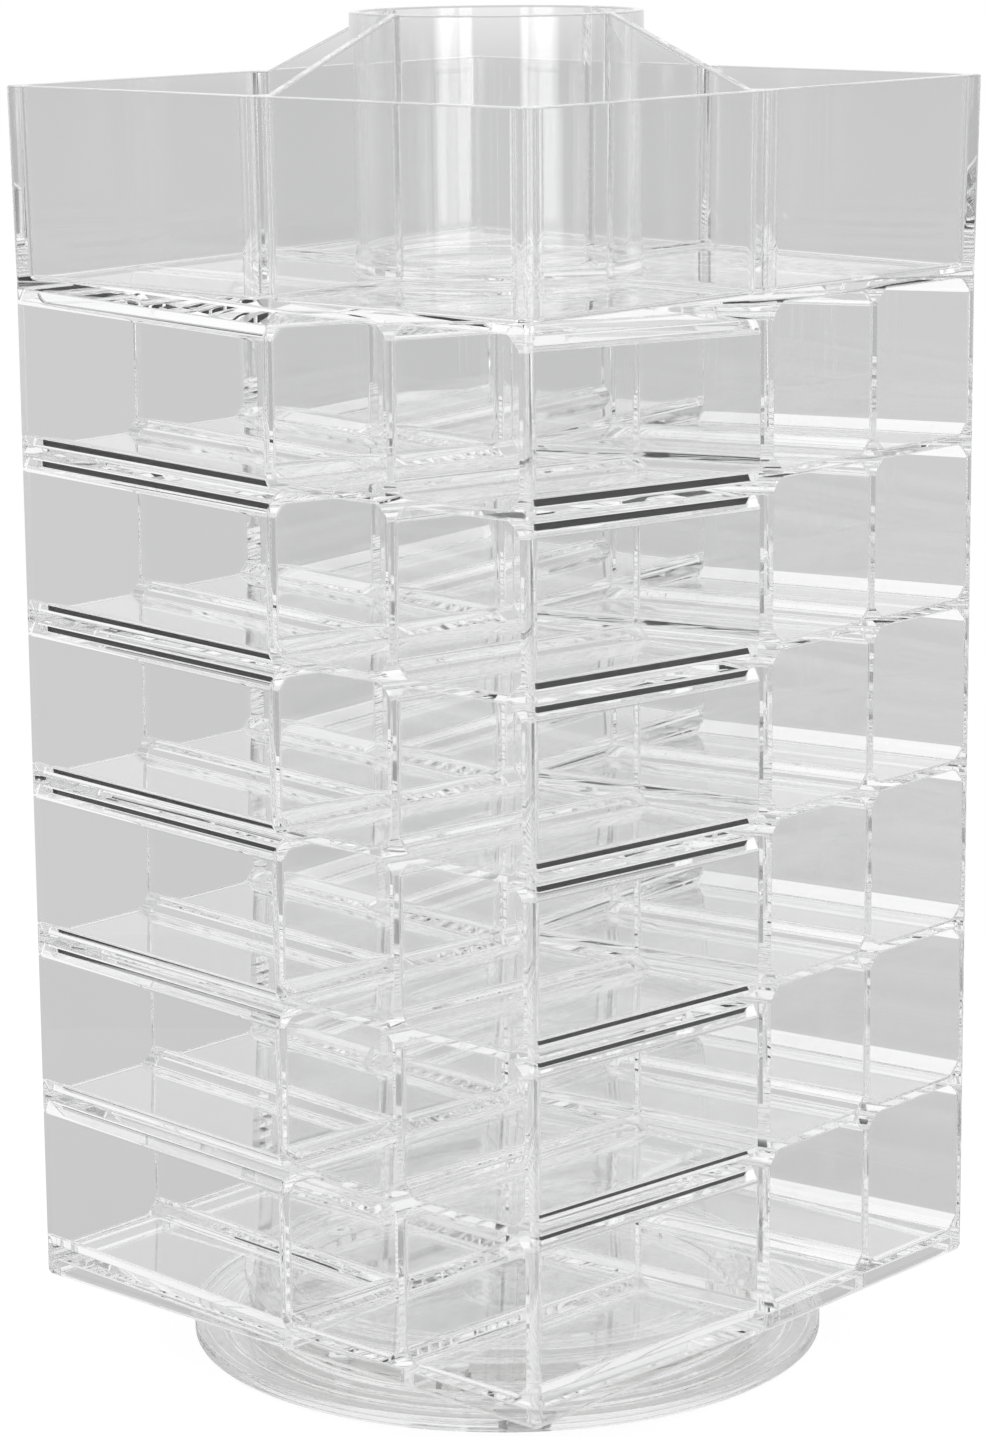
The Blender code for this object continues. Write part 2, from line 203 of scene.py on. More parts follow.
studio_light = studio_light * (1.0 - boxes) + SOFT_BOXES * boxes
seen = nodes.add("ShaderNodeLightPath", output="Is Camera Ray")
strength = seen * BACKDROP + (1.0 - seen) * studio_light
shine = {"Color": (1.0, 1.0, 1.0, 1.0), "Strength": strength}
shine = nodes.add("ShaderNodeBackground", None, shine)
nodes.add("ShaderNodeOutputWorld", None, {"Surface": shine})

# The table's own light: white to the camera, and to the plastic grey, or paler from high up.
TABLE_RADIUS = 0.3
TABLE_SIDES = 96
TABLE_WHITE, TABLE_MATT = 0.96, 0.10
TABLE_GREY, TABLE_FROM_ABOVE = 0.52, 0.90
STEEP_EDGE = 0.4, 0.48


def make_floor():
    mesh = bpy.data.meshes.new("floor")
    bm = bmesh.new()
    bmesh.ops.create_circle(bm, cap_ends=True, segments=TABLE_SIDES, radius=TABLE_RADIUS)
    bm.to_mesh(mesh)
    bm.free()
    floor = bpy.data.objects.new("floor", mesh)
    bpy.context.scene.collection.objects.link(floor)
    material = bpy.data.materials.new("pale sweep")
    material.use_nodes = True
    material.node_tree.nodes.clear()
    nodes = Nodes(material.node_tree)
    seen = nodes.add("ShaderNodeLightPath", output="Is Camera Ray")
    mirrored = nodes.add("ShaderNodeLightPath", output="Is Glossy Ray")
    bent = nodes.add("ShaderNodeLightPath", output="Is Transmission Ray")
    steep = 1.0 - nodes.add("ShaderNodeLayerWeight", None, {"Blend": 0.5}, output="Facing")
    shown = TABLE_GREY + (TABLE_FROM_ABOVE - TABLE_GREY) * steep.rise(*STEEP_EDGE)
    own_light = seen * TABLE_WHITE + (1.0 - seen) * mirrored.maths("MAXIMUM", bent) * shown
    matt = {"Color": (TABLE_MATT, TABLE_MATT, TABLE_MATT, 1.0)}
    matt = nodes.add("ShaderNodeBsdfDiffuse", None, matt)
    shine = {"Color": (1.0, 1.0, 1.0, 1.0), "Strength": own_light}
    shine = nodes.add("ShaderNodeEmission", None, shine)
    both = nodes.add("ShaderNodeAddShader", None, {0: matt, 1: shine})
    nodes.add("ShaderNodeOutputMaterial", None, {"Surface": both})
    mesh.materials.append(material)


make_floor()


# The clear plastic that the tower and the base are moulded from. It is nearly free of colour, with
# slow waves from the mould on the level faces, fine hairline scratches and a few dull rubs.
CLEAR_IOR = 1.49
LEVEL_FACE, WAVES_ON_WALLS = 0.9, 0.1
HAIR_SLANT, HAIR_STRETCH = (0.4, 0.9, 0.5), (30.0, 2500.0, 30.0)
HAIR_ABOVE, HAIR_PATCH, HAIR_DULLS = 0.83, 0.66, 0.22
PATCH_SCALE = 120.0
RUB_PATCH, RUB_DULLS = 0.74, 0.04
WORN_TINT, WORN_SHARE = 0.985, 0.5


def clear_plastic(name, tint, wave_scale, wave_depth, wear):
    material = bpy.data.materials.new(name)
    material.use_nodes = True
    shader = material.node_tree.nodes["Principled BSDF"].inputs
    shader["IOR"].default_value = CLEAR_IOR
    shader["Transmission Weight"].default_value = 1.0
    nodes = Nodes(material.node_tree)
    place = nodes.add("ShaderNodeTexCoord", output="Object")
    facing = nodes.add("ShaderNodeTexCoord", output="Normal").parts()
    lying_flat = abs(facing[2]) > LEVEL_FACE

    waves = {"Vector": place, "Scale": wave_scale, "Detail": 0.0}
    waves = nodes.add("ShaderNodeTexNoise", None, waves)
    height = waves * wave_depth * (WAVES_ON_WALLS + (1.0 - WAVES_ON_WALLS) * lying_flat)
    bump = nodes.add("ShaderNodeBump", None, {"Height": height, "Distance": 1.0})
    nodes.feed(shader["Normal"], bump)
    slanting = {"Vector": place, "Rotation": HAIR_SLANT, "Scale": HAIR_STRETCH}
    hair = {"Vector": nodes.add("ShaderNodeMapping", None, slanting), "Scale": 1.0, "Detail": 0.0}
    hair = nodes.add("ShaderNodeTexNoise", None, hair)
    patchy = {"Vector": place, "Scale": PATCH_SCALE, "Detail": 0.0}
    patchy = nodes.add("ShaderNodeTexNoise", None, patchy)
    scratches = (hair > HAIR_ABOVE) * (patchy > HAIR_PATCH)
    rubs = patchy > RUB_PATCH
    nodes.feed(shader["Roughness"], wear * HAIR_DULLS * scratches + wear * RUB_DULLS * rubs)
    worn = tuple(WORN_TINT * c for c in tint)
    colours = {0: patchy * WORN_SHARE, 6: (*tint, 1.0), 7: (*worn, 1.0)}
    colour = nodes.add("ShaderNodeMix", {"data_type": "RGBA"}, colours, output=2)
    nodes.feed(shader["Base Color"], colour)
    return material


# The tower: one clear moulded body. Four banks of two by six slots stand in a pinwheel, the
# shelves sink towards the middle, and the tray with its round cup closes the top.
SIDE = 125.0 * MM
HALF = SIDE / 2
TOWER_FOOT = 12.0 * MM
ROWS, COLUMNS, BANKS = 6, 2, 4
ROW_PITCH = 30.8 * MM
SHELF = 1.9 * MM
SHELF_DROP = 2.5 * MM
OUTER_WALL = 2.6 * MM
INNER_WALL = 2.2 * MM
DIVIDER = 2.0 * MM
SKIRT = 3.4 * MM
SKIRT_WALL = 2.2 * MM
SLOT_CHAMFER = 2.3 * MM
SLOT_ROUND = 1.4 * MM
SLOT_WIDTH = (HALF - OUTER_WALL - INNER_WALL - DIVIDER) / 2
SLOT_HEIGHT = ROW_PITCH - SHELF
TRAY_FLOOR_TOP = 202.0 * MM
TRAY_RIM = 237.1 * MM
CUP_RIM = 249.5 * MM
CUP_RADIUS = 26.7 * MM
CUP_TAPER = 0.6 * MM
CUP_WALL = 1.8 * MM
CUP_INSIDE_FLOOR = 203.9 * MM
TRAY_WALL = 2.0 * MM
TRAY_FLARE = 0.5 * MM
TRAY_DIVIDER = 2.0 * MM
BIN_CORNER = 3.0 * MM
HIP_LANDING = 0.8 * MM
CORNER_ROUND, FOOT_ROUND = 1.6 * MM, 1.5 * MM
SKIRT_CORNER = 0.8 * MM
BIN_FLOOR_ROUND, CUP_FLOOR_ROUND = 1.2 * MM, 2.0 * MM
CUP_FLARE = 1.0 * MM
EDGE_SOFTNESS = 0.4 * MM
SOFTENED_FROM, SMOOTHED_BELOW = math.radians(50), math.radians(40)
FLAT_WEIGHT = 100
QUARTER_TURN, FULL_TURN = math.pi / 2, 2 * math.pi

# How far a cutting shape reaches past the surface that it opens, and how close counts as touching.
REACH = 6.0 * MM
TOUCHING, MERGED = 0.000001, 0.00001

# How many faces go round a rounding, and round the cup.
UPRIGHT_STEPS, FLOOR_STEPS, CORNER_STEPS, FOOT_STEPS, EDGE_STEPS = 6, 4, 5, 4, 3
CUP_STEPS = 160

# The upright corners are the edges at least this long and this far out.
CORNER_LENGTH, CORNER_ZONE = 30.0 * MM, 0.9 * HALF

TOWER_TINT = 0.993, 0.994, 0.994
TOWER_WAVES = 60.0, 0.00002
TOWER_WEAR = 1.0


def size_nodes(name, sizes):
    """A geometry tree with one named input for each size, and those inputs."""
    tree = bpy.data.node_groups.new(name, "GeometryNodeTree")
    tree.interface.new_socket("Geometry", in_out="OUTPUT", socket_type="NodeSocketGeometry")
    for size, value in sizes.items():
        kind = "NodeSocketInt" if isinstance(value, int) else "NodeSocketFloat"
        tree.interface.new_socket(size, in_out="INPUT", socket_type=kind)
    nodes = Nodes(tree)
    nodes.add("NodeGroupInput")
    return nodes, {size: Socket(nodes, nodes.newest.outputs[size]) for size in sizes}


def grown(name, nodes, sizes, last, material):
    """Ends a tree, runs it on an empty object with these sizes and keeps the plain mesh."""
    real = nodes.add("GeometryNodeRealizeInstances", None, {0: last})
    dressed = nodes.add("GeometryNodeSetMaterial", None, {"Geometry": real, "Material": material})
    nodes.add("NodeGroupOutput", None, {0: dressed})
    host = put(name, bpy.data.meshes.new(name))
    maker = host.modifiers.new(name, "NODES")
    maker.node_group = nodes.tree
    for item in nodes.tree.interface.items_tree:
        if item.in_out == "INPUT":
            maker[item.identifier] = sizes[item.name]
    return plain_mesh(host)


def plain_mesh(thing):
    """The object's finished mesh; the object itself goes."""
    graph = bpy.context.evaluated_depsgraph_get()
    mesh = bpy.data.meshes.new_from_object(thing.evaluated_get(graph))
    bpy.data.objects.remove(thing, do_unlink=True)
    return mesh


def put(name, mesh):
    thing = bpy.data.objects.new(name, mesh)
    bpy.context.scene.collection.objects.link(thing)
    return thing


def slot_hollows(material):
    """All the slots as rounded tubes: a grid of them for one bank, turned into four banks."""
    sizes = {
        "Rows": ROWS, "Columns": COLUMNS, "Banks": BANKS, "Pitch": ROW_PITCH,
        "Width": SLOT_WIDTH, "Height": SLOT_HEIGHT, "Divider": DIVIDER,
        "Chamfer": SLOT_CHAMFER, "Round": SLOT_ROUND,
        "Half": HALF, "Reach": REACH, "Drop": SHELF_DROP,
        "First side": -HALF + OUTER_WALL + SLOT_WIDTH / 2,
        "First height": TOWER_FOOT + SKIRT + SHELF + SLOT_HEIGHT / 2,
    }
    nodes, size = size_nodes("slot hollows", sizes)
    opening = {"Width": size["Width"], "Height": size["Height"]}
    mouth = nodes.add("GeometryNodeCurvePrimitiveQuadrilateral", None, opening)
    for points, radius in ((1, size["Chamfer"]), (4, size["Round"])):
        corners = {"Curve": mouth, "Count": points, "Radius": radius}
        mouth = nodes.add("GeometryNodeFilletCurve", {"mode": "POLY"}, corners)
    outside = nodes.vector(0.0 - size["Half"] - size["Reach"], 0.0, 0.0)
    line = {"Start": outside, "End": (0.0, 0.0, 0.0)}
    line = nodes.add("GeometryNodeCurvePrimitiveLine", None, line)
    tube = {"Curve": line, "Profile Curve": mouth, "Fill Caps": True}
    tube = nodes.add("GeometryNodeCurveToMesh", None, tube)
    index = nodes.add("GeometryNodeInputIndex")
    row = (index / size["Columns"]).maths("FLOOR")
    column = index - row * size["Columns"]
    side = size["First side"] + column * (size["Width"] + size["Divider"])
    spot = nodes.vector(0.0, side, size["First height"] + row * size["Pitch"])
    spots = {"Count": size["Rows"] * size["Columns"], "Position": spot}
    spots = nodes.add("GeometryNodePoints", None, spots)
    bank = nodes.add("GeometryNodeInstanceOnPoints", None, {"Points": spots, "Instance": tube})
    bank = nodes.add("GeometryNodeRealizeInstances", None, {0: bank})
    inward = (nodes.add("GeometryNodeInputPosition").parts()[0] + size["Half"]) / size["Half"]
    sink = nodes.vector(0.0, 0.0, 0.0 - size["Drop"] * inward)
    bank = nodes.add("GeometryNodeSetPosition", None, {"Geometry": bank, "Offset": sink})
    quarters = nodes.add("GeometryNodePoints", None, {"Count": size["Banks"]})
    quarter_turn = nodes.vector(0.0, 0.0, index * FULL_TURN / size["Banks"])
    banks = {"Points": quarters, "Instance": bank, "Rotation": quarter_turn}
    banks = nodes.add("GeometryNodeInstanceOnPoints", None, banks)
    return grown("slot_hollows", nodes, sizes, banks, material)


def round_off(bm, edges, radius, steps):
    bmesh.ops.bevel(
        bm, geom=edges, offset=radius, segments=steps, profile=0.5, affect="EDGES"
    )


def rounded_box(low, high, upright_round, floor_round=0.0):
    """A box whose upright edges, and then whose bottom edges, are rounded."""
    bm = bmesh.new()
    for vert in bmesh.ops.create_cube(bm, size=1.0)["verts"]:
        vert.co = [high[i] if vert.co[i] > 0 else low[i] for i in range(3)]
    if upright_round:
        edges = [e for e in bm.edges if e.verts[0].co.z != e.verts[1].co.z]
        round_off(bm, edges, upright_round, UPRIGHT_STEPS)
    if floor_round:
        edges = [e for e in bm.edges if max(v.co.z for v in e.verts) < low[2] + TOUCHING]
        round_off(bm, edges, floor_round, FLOOR_STEPS)
    return bm


def turn_profile(name, outline, steps, closed=False):
    """A turned mesh from (radius, height) points that run down the outer side."""
    count = len(outline)
    mesh = bpy.data.meshes.new(name)
    ends = [(i, (i + 1) % count) for i in range(count if closed else count - 1)]
    mesh.from_pydata([(radius, 0.0, height) for radius, height in outline], ends, [])
    blank = put(name, mesh)
    screw = blank.modifiers.new("turn", "SCREW")
    screw.steps = screw.render_steps = steps
    screw.use_merge_vertices = True
    screw.merge_threshold = MERGED
    screw.use_smooth_shade = False
    return plain_mesh(blank)


def arc(centre, radius, start, end, steps):
    """Points along an arc in a turned outline, between two angles in degrees."""
    for i in range(steps + 1):
        angle = math.radians(start + (end - start) * i / steps)
        yield centre[0] + radius * math.cos(angle), centre[1] + radius * math.sin(angle)


def smooth(mesh):
    """Smooth shading that leaves the large flat faces truly flat beside their rounded edges."""
    mesh.shade_smooth()
    mesh.set_sharp_from_angle(angle=SMOOTHED_BELOW)
    blank = put(mesh.name, mesh)
    flatten = blank.modifiers.new("flat_faces", "WEIGHTED_NORMAL")
    flatten.mode = "FACE_AREA"
    flatten.weight = FLAT_WEIGHT
    flatten.keep_sharp = True
    return plain_mesh(blank)


def to_mesh(name, bm):
    bmesh.ops.recalc_face_normals(bm, faces=bm.faces)
    mesh = bpy.data.meshes.new(name)
    bm.to_mesh(mesh)
    bm.free()
    return mesh


def lean_out(bm):
    """Leans the tray's outer sides out towards the rim."""
    for vert in bm.verts:
        lean = TRAY_FLARE * max(vert.co.z - TRAY_FLOOR_TOP, 0.0) / (TRAY_RIM - TRAY_FLOOR_TOP)
        for axis in (0, 1):
            if abs(vert.co[axis]) > HALF / 2:
                vert.co[axis] += math.copysign(lean, vert.co[axis])


def cup_core():
    """The round body of the cup, with a small flare where it meets the tray's floor."""
    low, high = TRAY_FLOOR_TOP - REACH, CUP_RIM + 2 * REACH
    foot = CUP_RADIUS - CUP_TAPER
    slope = CUP_TAPER / (CUP_RIM - TRAY_FLOOR_TOP)
    middle = (foot + CUP_FLARE, TRAY_FLOOR_TOP + CUP_FLARE)
    outline = [(0.0, high), (foot + slope * (high - TRAY_FLOOR_TOP), high)]
    outline += arc(middle, CUP_FLARE, 180, 270, 4)
    outline += [(foot + CUP_FLARE, low), (0.0, low)]
    return turn_profile("cup_core", outline, CUP_STEPS)


def tower_body():
    """The solid block, before its hollows: square, with the tray's rim and the hipped dividers."""
    bm = bmesh.new()
    for vert in bmesh.ops.create_cube(bm, size=1.0)["verts"]:
        vert.co = (
            math.copysign(HALF, vert.co.x),
            math.copysign(HALF, vert.co.y),
            TRAY_FLOOR_TOP if vert.co.z > 0 else TOWER_FOOT,
        )
    top = max(bm.faces, key=lambda f: f.calc_center_median().z)
    raised = bmesh.ops.extrude_face_region(bm, geom=[top])["geom"]
    bmesh.ops.delete(bm, geom=[top], context="FACES_ONLY")
    for vert in raised:
        if isinstance(vert, bmesh.types.BMVert):
            vert.co.z = TRAY_RIM
    lean_out(bm)
    top = max(bm.faces, key=lambda f: f.calc_center_median().z)
    ledge = TRAY_WALL + BIN_CORNER
    bmesh.ops.inset_region(bm, faces=[top], thickness=ledge, use_even_offset=True)
    raised = bmesh.ops.extrude_face_region(bm, geom=[top])["geom"]
    bmesh.ops.delete(bm, geom=[top], context="FACES_ONLY")
    narrow = (CUP_RADIUS + HIP_LANDING) / (HALF + TRAY_FLARE - ledge)
    for vert in raised:
        if isinstance(vert, bmesh.types.BMVert):
            vert.co.x *= narrow
            vert.co.y *= narrow
            vert.co.z = CUP_RIM
    corners = []
    for edge in bm.edges:
        one, other = (vert.co for vert in edge.verts)
        far_out = min(abs(one.x), abs(other.x)) > CORNER_ZONE
        if far_out and abs(one.z - other.z) > CORNER_LENGTH:
            corners.append(edge)
    round_off(bm, corners, CORNER_ROUND, CORNER_STEPS)
    foot = [e for e in bm.edges if max(v.co.z for v in e.verts) < TOWER_FOOT + TOUCHING]
    round_off(bm, foot, FOOT_ROUND, FOOT_STEPS)
    return to_mesh("tower_body", bm)


def skirt_hollows():
    """The hollows under the lowest shelves, behind the skirt."""
    bm = bmesh.new()
    for quarter in range(BANKS):
        for column in range(COLUMNS):
            side = -HALF + OUTER_WALL + column * (SLOT_WIDTH + DIVIDER)
            low = (-HALF + SKIRT_WALL, side, TOWER_FOOT - REACH)
            high = (0.0, side + SLOT_WIDTH, TOWER_FOOT + SKIRT)
            piece = rounded_box(low, high, SKIRT_CORNER)
            for vert in piece.verts:
                if vert.co.z > TOWER_FOOT:
                    vert.co.z -= SHELF_DROP * (vert.co.x + HALF) / HALF
            turn = Matrix.Rotation(QUARTER_TURN * quarter, 3, "Z")
            bmesh.ops.rotate(piece, verts=piece.verts, matrix=turn)
            mesh = to_mesh("skirt", piece)
            bm.from_mesh(mesh)
            bpy.data.meshes.remove(mesh)
    return to_mesh("skirt_hollows", bm)


def bin_hollows():
    """The four bins, each a rounded box less the cup that it wraps round."""
    bm = bmesh.new()
    near, far = TRAY_DIVIDER / 2, HALF - TRAY_WALL
    for x_side in (-1, 1):
        for y_side in (-1, 1):
            x_span = sorted((x_side * near, x_side * far))
            y_span = sorted((y_side * near, y_side * far))
            low = (x_span[0], y_span[0], TRAY_FLOOR_TOP)
            high = (x_span[1], y_span[1], CUP_RIM + REACH)
            piece = rounded_box(low, high, BIN_CORNER, BIN_FLOOR_ROUND)
            lean_out(piece)
            mesh = to_mesh("bin", piece)
            bm.from_mesh(mesh)
            bpy.data.meshes.remove(mesh)
    bins = put("bin_hollows", to_mesh("bin_hollows", bm))
    core = put("cup_core", cup_core())
    less = bins.modifiers.new("less_cup", "BOOLEAN")
    less.operation = "DIFFERENCE"
    less.object = core
    mesh = plain_mesh(bins)
    bpy.data.objects.remove(core, do_unlink=True)
    return mesh


def cup_hollow():
    """The inside of the cup, with a rounded floor."""
    rim = CUP_RADIUS - CUP_WALL
    slope = CUP_TAPER / (CUP_RIM - TRAY_FLOOR_TOP)
    foot = rim - CUP_TAPER
    top = CUP_RIM + REACH
    middle = (foot - CUP_FLOOR_ROUND, CUP_INSIDE_FLOOR + CUP_FLOOR_ROUND)
    outline = [(0.0, top), (rim + slope * REACH, top)]
    outline += arc(middle, CUP_FLOOR_ROUND, 0, -90, 6)
    outline += [(0.0, CUP_INSIDE_FLOOR)]
    return turn_profile("cup_hollow", outline, CUP_STEPS)


def make_tower():
    plastic = clear_plastic("clear moulded plastic", TOWER_TINT, *TOWER_WAVES, TOWER_WEAR)
    tower = put("tower_shell", tower_body())
    tower.data.materials.append(plastic)
    helpers = []
    for name, mesh in (
        ("slots", slot_hollows(plastic)), ("skirts", skirt_hollows()),
        ("bins", bin_hollows()), ("cup_inside", cup_hollow()),
    ):
        helper = put(name, mesh)
        helpers.append(helper)
        cut = tower.modifiers.new(name, "BOOLEAN")
        cut.operation = "DIFFERENCE"
        cut.object = helper
    soften = tower.modifiers.new("soft_edges", "BEVEL")
    soften.width = EDGE_SOFTNESS
    soften.segments = EDGE_STEPS
    soften.limit_method = "ANGLE"
    soften.angle_limit = SOFTENED_FROM
    soften.use_clamp_overlap = False
    mesh = plain_mesh(tower)
    for helper in helpers:
        bpy.data.objects.remove(helper, do_unlink=True)
    mesh.materials.clear()
    mesh.materials.append(plastic)
    shell = put("tower_shell", smooth(mesh))
    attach(shell, "tower")
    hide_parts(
        "slot_bank_front", "slot_bank_right", "slot_bank_back", "slot_bank_left",
        "top_tray", "brush_cup",
    )


make_tower()


# The base disc, moulded from the same clear plastic: a low lip round its edge, two shallow rings
# in its top, the lower groove of the ball race, and a boss in the middle for the pivot. Four round
# seats hold its feet.
BASE_RADIUS = 60.0 * MM
BASE_FOOT, BASE_TOP, LIP_TOP = 0.8 * MM, 2.8 * MM, 3.4 * MM
LIP_WIDTH = 2.0 * MM
RACE_RADIUS = 45.0 * MM
RACE_HALF_WIDTH = 2.6 * MM
BALL_HEIGHT = 5.6 * MM
GROOVE_RADIUS = 2.8 * MM
GROOVE_ANGLE = 38.2
BOSS_RADIUS, BOSS_TOP = 7.0 * MM, 8.4 * MM
PIN_BORE = 3.3 * MM
RECESS_RADIUS, RECESS_TOP = 5.9 * MM, 2.2 * MM
FEET = 4
FOOT_CIRCLE, FIRST_FOOT = 50.0 * MM, math.pi / FEET
SEAT_RADIUS, SEAT_TOP = 4.8 * MM, 1.8 * MM
RING_LINES = 50.6 * MM, 54.4 * MM
RING_HALF_WIDTH, RING_DEPTH = 0.9 * MM, 0.35 * MM
BASE_EDGE, RACE_EDGE = 0.45 * MM, 0.2 * MM
BASE_TINT = 0.993, 0.994, 0.994
BASE_WAVES = 35.0, 0.00003
BASE_WEAR = 1.5
DISC_STEPS, SEAT_STEPS = 192, 48


def turned_piece(name, outline, steps, material):
    """A turned piece with its faces outwards, from a closed ring of (radius, height) points."""
    bm = bmesh.new()
    mesh = turn_profile(name, outline, steps, closed=outline[0][0] > 0.0)
    bm.from_mesh(mesh)
    bpy.data.meshes.remove(mesh)
    mesh = to_mesh(name, bm)
    mesh.materials.append(material)
    return mesh


def round_the_axis(name, pattern, count, radius, height, first_turn, material):
    """Copies of one mesh, evenly spaced on a level circle round the tower's axis."""
    sizes = {"Count": count, "Circle": radius, "Height": height, "First turn": first_turn}
    nodes, size = size_nodes(name, sizes)
    one = put(name + "_pattern", pattern)
    turn = nodes.add("GeometryNodeInputIndex") * FULL_TURN / size["Count"]
    turn = size["First turn"] + turn
    across, along = turn.maths("COSINE"), turn.maths("SINE")
    spot = nodes.vector(size["Circle"] * across, size["Circle"] * along, size["Height"])
    spots = nodes.add("GeometryNodePoints", None, {"Count": size["Count"], "Position": spot})
    single = nodes.add("GeometryNodeObjectInfo", None, {"Object": one}, output="Geometry")
    ring = nodes.add("GeometryNodeInstanceOnPoints", None, {"Points": spots, "Instance": single})
    mesh = grown(name, nodes, sizes, ring, material)
    bpy.data.objects.remove(one, do_unlink=True)
    return mesh


def carve(name, mesh, cutter):
    """The mesh less what the cutter takes away."""
    blank, tool = put(name, mesh), put(name + "_cutter", cutter)
    cut = blank.modifiers.new("carve", "BOOLEAN")
    cut.operation = "DIFFERENCE"
    cut.object = tool
    mesh = plain_mesh(blank)
    bpy.data.objects.remove(tool, do_unlink=True)
    return mesh


def race_groove(side):
    """Points across a groove of the race, going outwards; side is 1 over the balls, -1 under."""
    for radius, drop in arc((0.0, 0.0), GROOVE_RADIUS, 90 + GROOVE_ANGLE, 90 - GROOVE_ANGLE, 12):
        yield RACE_RADIUS + radius, BALL_HEIGHT + side * drop


def ring_line(radius):
    """Points across one of the shallow round rings in the top of the disc, going outwards."""
    curve = (RING_HALF_WIDTH ** 2 + RING_DEPTH ** 2) / (2 * RING_DEPTH)
    half_angle = math.degrees(math.asin(RING_HALF_WIDTH / curve))
    middle = (radius, BASE_TOP - RING_DEPTH + curve)
    return arc(middle, curve, 270 - half_angle, 270 + half_angle, 8)


def make_base():
    plastic = clear_plastic("clear base plastic", BASE_TINT, *BASE_WAVES, BASE_WEAR)
    edge, soft = BASE_EDGE, RACE_EDGE
    lip_inner = BASE_RADIUS - LIP_WIDTH
    race_in, race_out = RACE_RADIUS - RACE_HALF_WIDTH, RACE_RADIUS + RACE_HALF_WIDTH
    outline = [
        *arc((BASE_RADIUS - edge, LIP_TOP - edge), edge, 90, 0, 5),
        *arc((BASE_RADIUS - edge, BASE_FOOT + edge), edge, 0, -90, 5),
        (RECESS_RADIUS, BASE_FOOT), (RECESS_RADIUS, RECESS_TOP), (PIN_BORE, RECESS_TOP),
        (PIN_BORE, BOSS_TOP - soft), (PIN_BORE + soft, BOSS_TOP),
        *arc((BOSS_RADIUS - edge, BOSS_TOP - edge), edge, 90, 0, 4),
        *arc((BOSS_RADIUS + edge, BASE_TOP + edge), edge, 180, 270, 4),
        *arc((race_in - soft, BASE_TOP + soft), soft, -90, 0, 3),
        *arc((race_in + soft, LIP_TOP - soft), soft, 180, 90, 3),
        *race_groove(-1),
        *arc((race_out - soft, LIP_TOP - soft), soft, 90, 0, 3),
        *arc((race_out + soft, BASE_TOP + soft), soft, 180, 270, 3),
        *ring_line(RING_LINES[0]), *ring_line(RING_LINES[1]),
        *arc((lip_inner - edge, BASE_TOP + edge), edge, -90, -30, 3),
        *arc((lip_inner + edge, LIP_TOP - edge), edge, 150, 90, 3),
    ]
    disc = turned_piece("base_plate", outline, DISC_STEPS, plastic)
    below = BASE_FOOT - REACH
    seat = [(0.0, SEAT_TOP), (SEAT_RADIUS, SEAT_TOP), (SEAT_RADIUS, below), (0.0, below)]
    seat = turned_piece("foot_seat", seat, SEAT_STEPS, plastic)
    seats = round_the_axis("foot_seats", seat, FEET, FOOT_CIRCLE, 0.0, FIRST_FOOT, plastic)
    disc = put("base_plate", smooth(carve("base_plate", disc, seats)))
    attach(disc, "base")
    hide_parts("base_disc")


make_base()


# The plate under the tower: a thin clear disc with the upper groove of the race round its edge
# and a hub in the middle that turns on the base's boss. It is glued under the tower's skirt.
PLATE_RADIUS = 49.5 * MM
PLATE_FOOT, PLATE_TOP = 10.1 * MM, 11.7 * MM
UPPER_RACE_FOOT = 7.8 * MM
HUB_INNER, HUB_WALL = 7.4 * MM, 2.0 * MM
HUB_FOOT = 3.6 * MM
WEB_FOOT, WEB_TOP = 8.7 * MM, 10.1 * MM
WEB_BORE = 3.4 * MM
HEAD_WELL = 5.4 * MM
PLATE_EDGE = 0.4 * MM
PLATE_TINT = 0.992, 0.993, 0.993
PLATE_WAVES = 50.0, 0.00003
PLATE_WEAR = 1.2


def make_plate():
    plastic = clear_plastic("clear race plastic", PLATE_TINT, *PLATE_WAVES, PLATE_WEAR)
    edge, soft = PLATE_EDGE, RACE_EDGE
    race_in, race_out = RACE_RADIUS - RACE_HALF_WIDTH, RACE_RADIUS + RACE_HALF_WIDTH
    outline = [
        *arc((PLATE_RADIUS - edge, PLATE_TOP - edge), edge, 90, 0, 4),
        *arc((PLATE_RADIUS - edge, PLATE_FOOT + edge), edge, 0, -90, 4),
        *arc((race_out + soft, PLATE_FOOT - soft), soft, 90, 180, 3),
        *arc((race_out - soft, UPPER_RACE_FOOT + soft), soft, 0, -90, 3),
        *reversed(list(race_groove(1))),
        *arc((race_in + soft, UPPER_RACE_FOOT + soft), soft, -90, -180, 3),
        *arc((race_in - soft, PLATE_FOOT - soft), soft, 0, 90, 3),
        *arc((HUB_INNER + HUB_WALL + edge, PLATE_FOOT - edge), edge, 90, 180, 3),
        (HUB_INNER + HUB_WALL, HUB_FOOT + soft), (HUB_INNER + HUB_WALL - soft, HUB_FOOT),
        (HUB_INNER + soft, HUB_FOOT), (HUB_INNER, HUB_FOOT + soft),
        (HUB_INNER, WEB_FOOT), (WEB_BORE, WEB_FOOT), (WEB_BORE, WEB_TOP),
        (HEAD_WELL, WEB_TOP), (HEAD_WELL, PLATE_TOP - soft), (HEAD_WELL + soft, PLATE_TOP),
    ]
    plate = turned_piece("race_plate", outline, DISC_STEPS, plastic)
    plate = put("race_plate", smooth(plate))
    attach(plate, "tower")
    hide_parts("turntable_plate")


make_plate()


